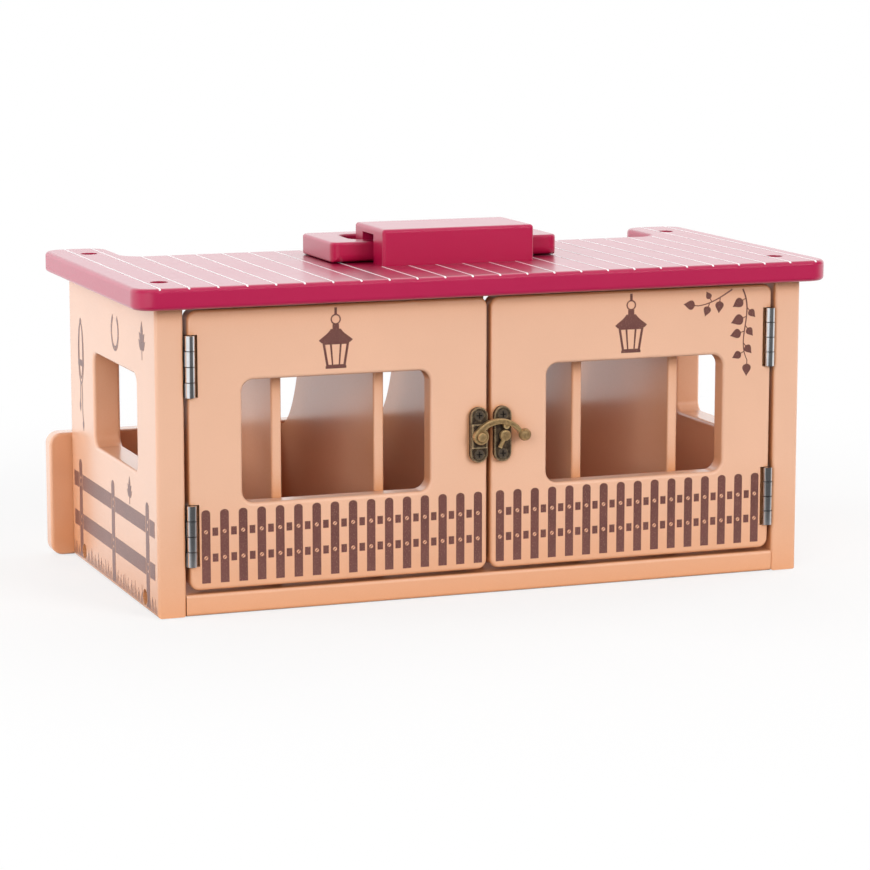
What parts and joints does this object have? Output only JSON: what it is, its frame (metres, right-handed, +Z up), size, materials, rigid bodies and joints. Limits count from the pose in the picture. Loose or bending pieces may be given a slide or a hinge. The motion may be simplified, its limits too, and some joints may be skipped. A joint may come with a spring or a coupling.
{
  "type": "toy horse stable",
  "caption": "Painted wooden toy riding stable with side walls, stalls behind a pair of windowed doors, a swing latch and a roof with a fold-down carry handle.",
  "frame": {"origin": "centre of the base board's underside, on the surface the toy stands on", "axes": "+X to the right along the front, +Y from the doors to the back, +Z up"},
  "size_m": [0.31, 0.16, 0.1526],
  "materials": {
    "beige_paint": "satin paint on board",
    "raspberry_paint": "satin paint on board",
    "bright_steel": "bright nickel plate",
    "antique_brass": "antique brass, worn edges",
    "screw_steel": "dark zinc",
    "brown_ink": "printed ink",
    "white_ink": "printed ink"
  },
  "bodies": {
    "house": {"back_panel": "beige_paint", "back_panel_screws": "screw_steel", "base_board": "beige_paint", "base_screws": "screw_steel", "handle_bridge": "raspberry_paint", "handle_bridge_screws": "screw_steel", "left_lower_frame_leaf": "bright_steel", "left_lower_hinge_pin": "bright_steel", "left_upper_frame_leaf": "bright_steel", "left_upper_hinge_pin": "bright_steel", "left_wall": "beige_paint", "partition_1": "beige_paint", "partition_2": "beige_paint", "partition_3": "beige_paint", "partition_4": "beige_paint", "partition_5": "beige_paint", "right_lower_frame_leaf": "bright_steel", "right_lower_hinge_pin": "bright_steel", "right_upper_frame_leaf": "bright_steel", "right_upper_hinge_pin": "bright_steel", "right_wall": "beige_paint", "roof": "raspberry_paint", "roof_screws": "screw_steel", "wall_hinge_screws": "bright_steel"},
    "left_door": {"left_door": "beige_paint", "left_upper_door_leaf": "bright_steel", "left_lower_door_leaf": "bright_steel", "left_door_hinge_screws": "bright_steel", "latch_left_plate": "antique_brass", "latch_pivot_rivet": "antique_brass", "left_latch_screws": "antique_brass"},
    "right_door": {"right_door": "beige_paint", "right_upper_door_leaf": "bright_steel", "right_lower_door_leaf": "bright_steel", "right_door_hinge_screws": "bright_steel", "latch_right_plate": "antique_brass", "latch_stud": "antique_brass", "right_latch_screws": "antique_brass"},
    "latch_hook": {"latch_hook": "antique_brass"},
    "carry_handle": {"handle_ring": "raspberry_paint"}
  },
  "joints": [
    {"name": "left_door_swing", "type": "hinge", "parent": "house", "child": "left_door", "pos_m": [-0.1305, -0.0713, 0.06865], "axis": [0, 0, -1], "range_deg": [0, 175]},
    {"name": "right_door_swing", "type": "hinge", "parent": "house", "child": "right_door", "pos_m": [0.1305, -0.0713, 0.06865], "axis": [0, 0, 1], "range_deg": [0, 175]},
    {"name": "latch_hook_swing", "type": "hinge", "parent": "left_door", "child": "latch_hook", "pos_m": [-0.00535, -0.0754, 0.0682], "axis": [0, -1, 0], "range_deg": [0, 110]},
    {"name": "handle_swing", "type": "hinge", "parent": "house", "child": "carry_handle", "pos_m": [0, -0.01663, 0.1408], "axis": [1, 0, 0], "range_deg": [0, 90]}
  ],
  "couplings": [
    {"joint": "right_door_swing", "follows": "left_door_swing", "ratio": 1}
  ]
}
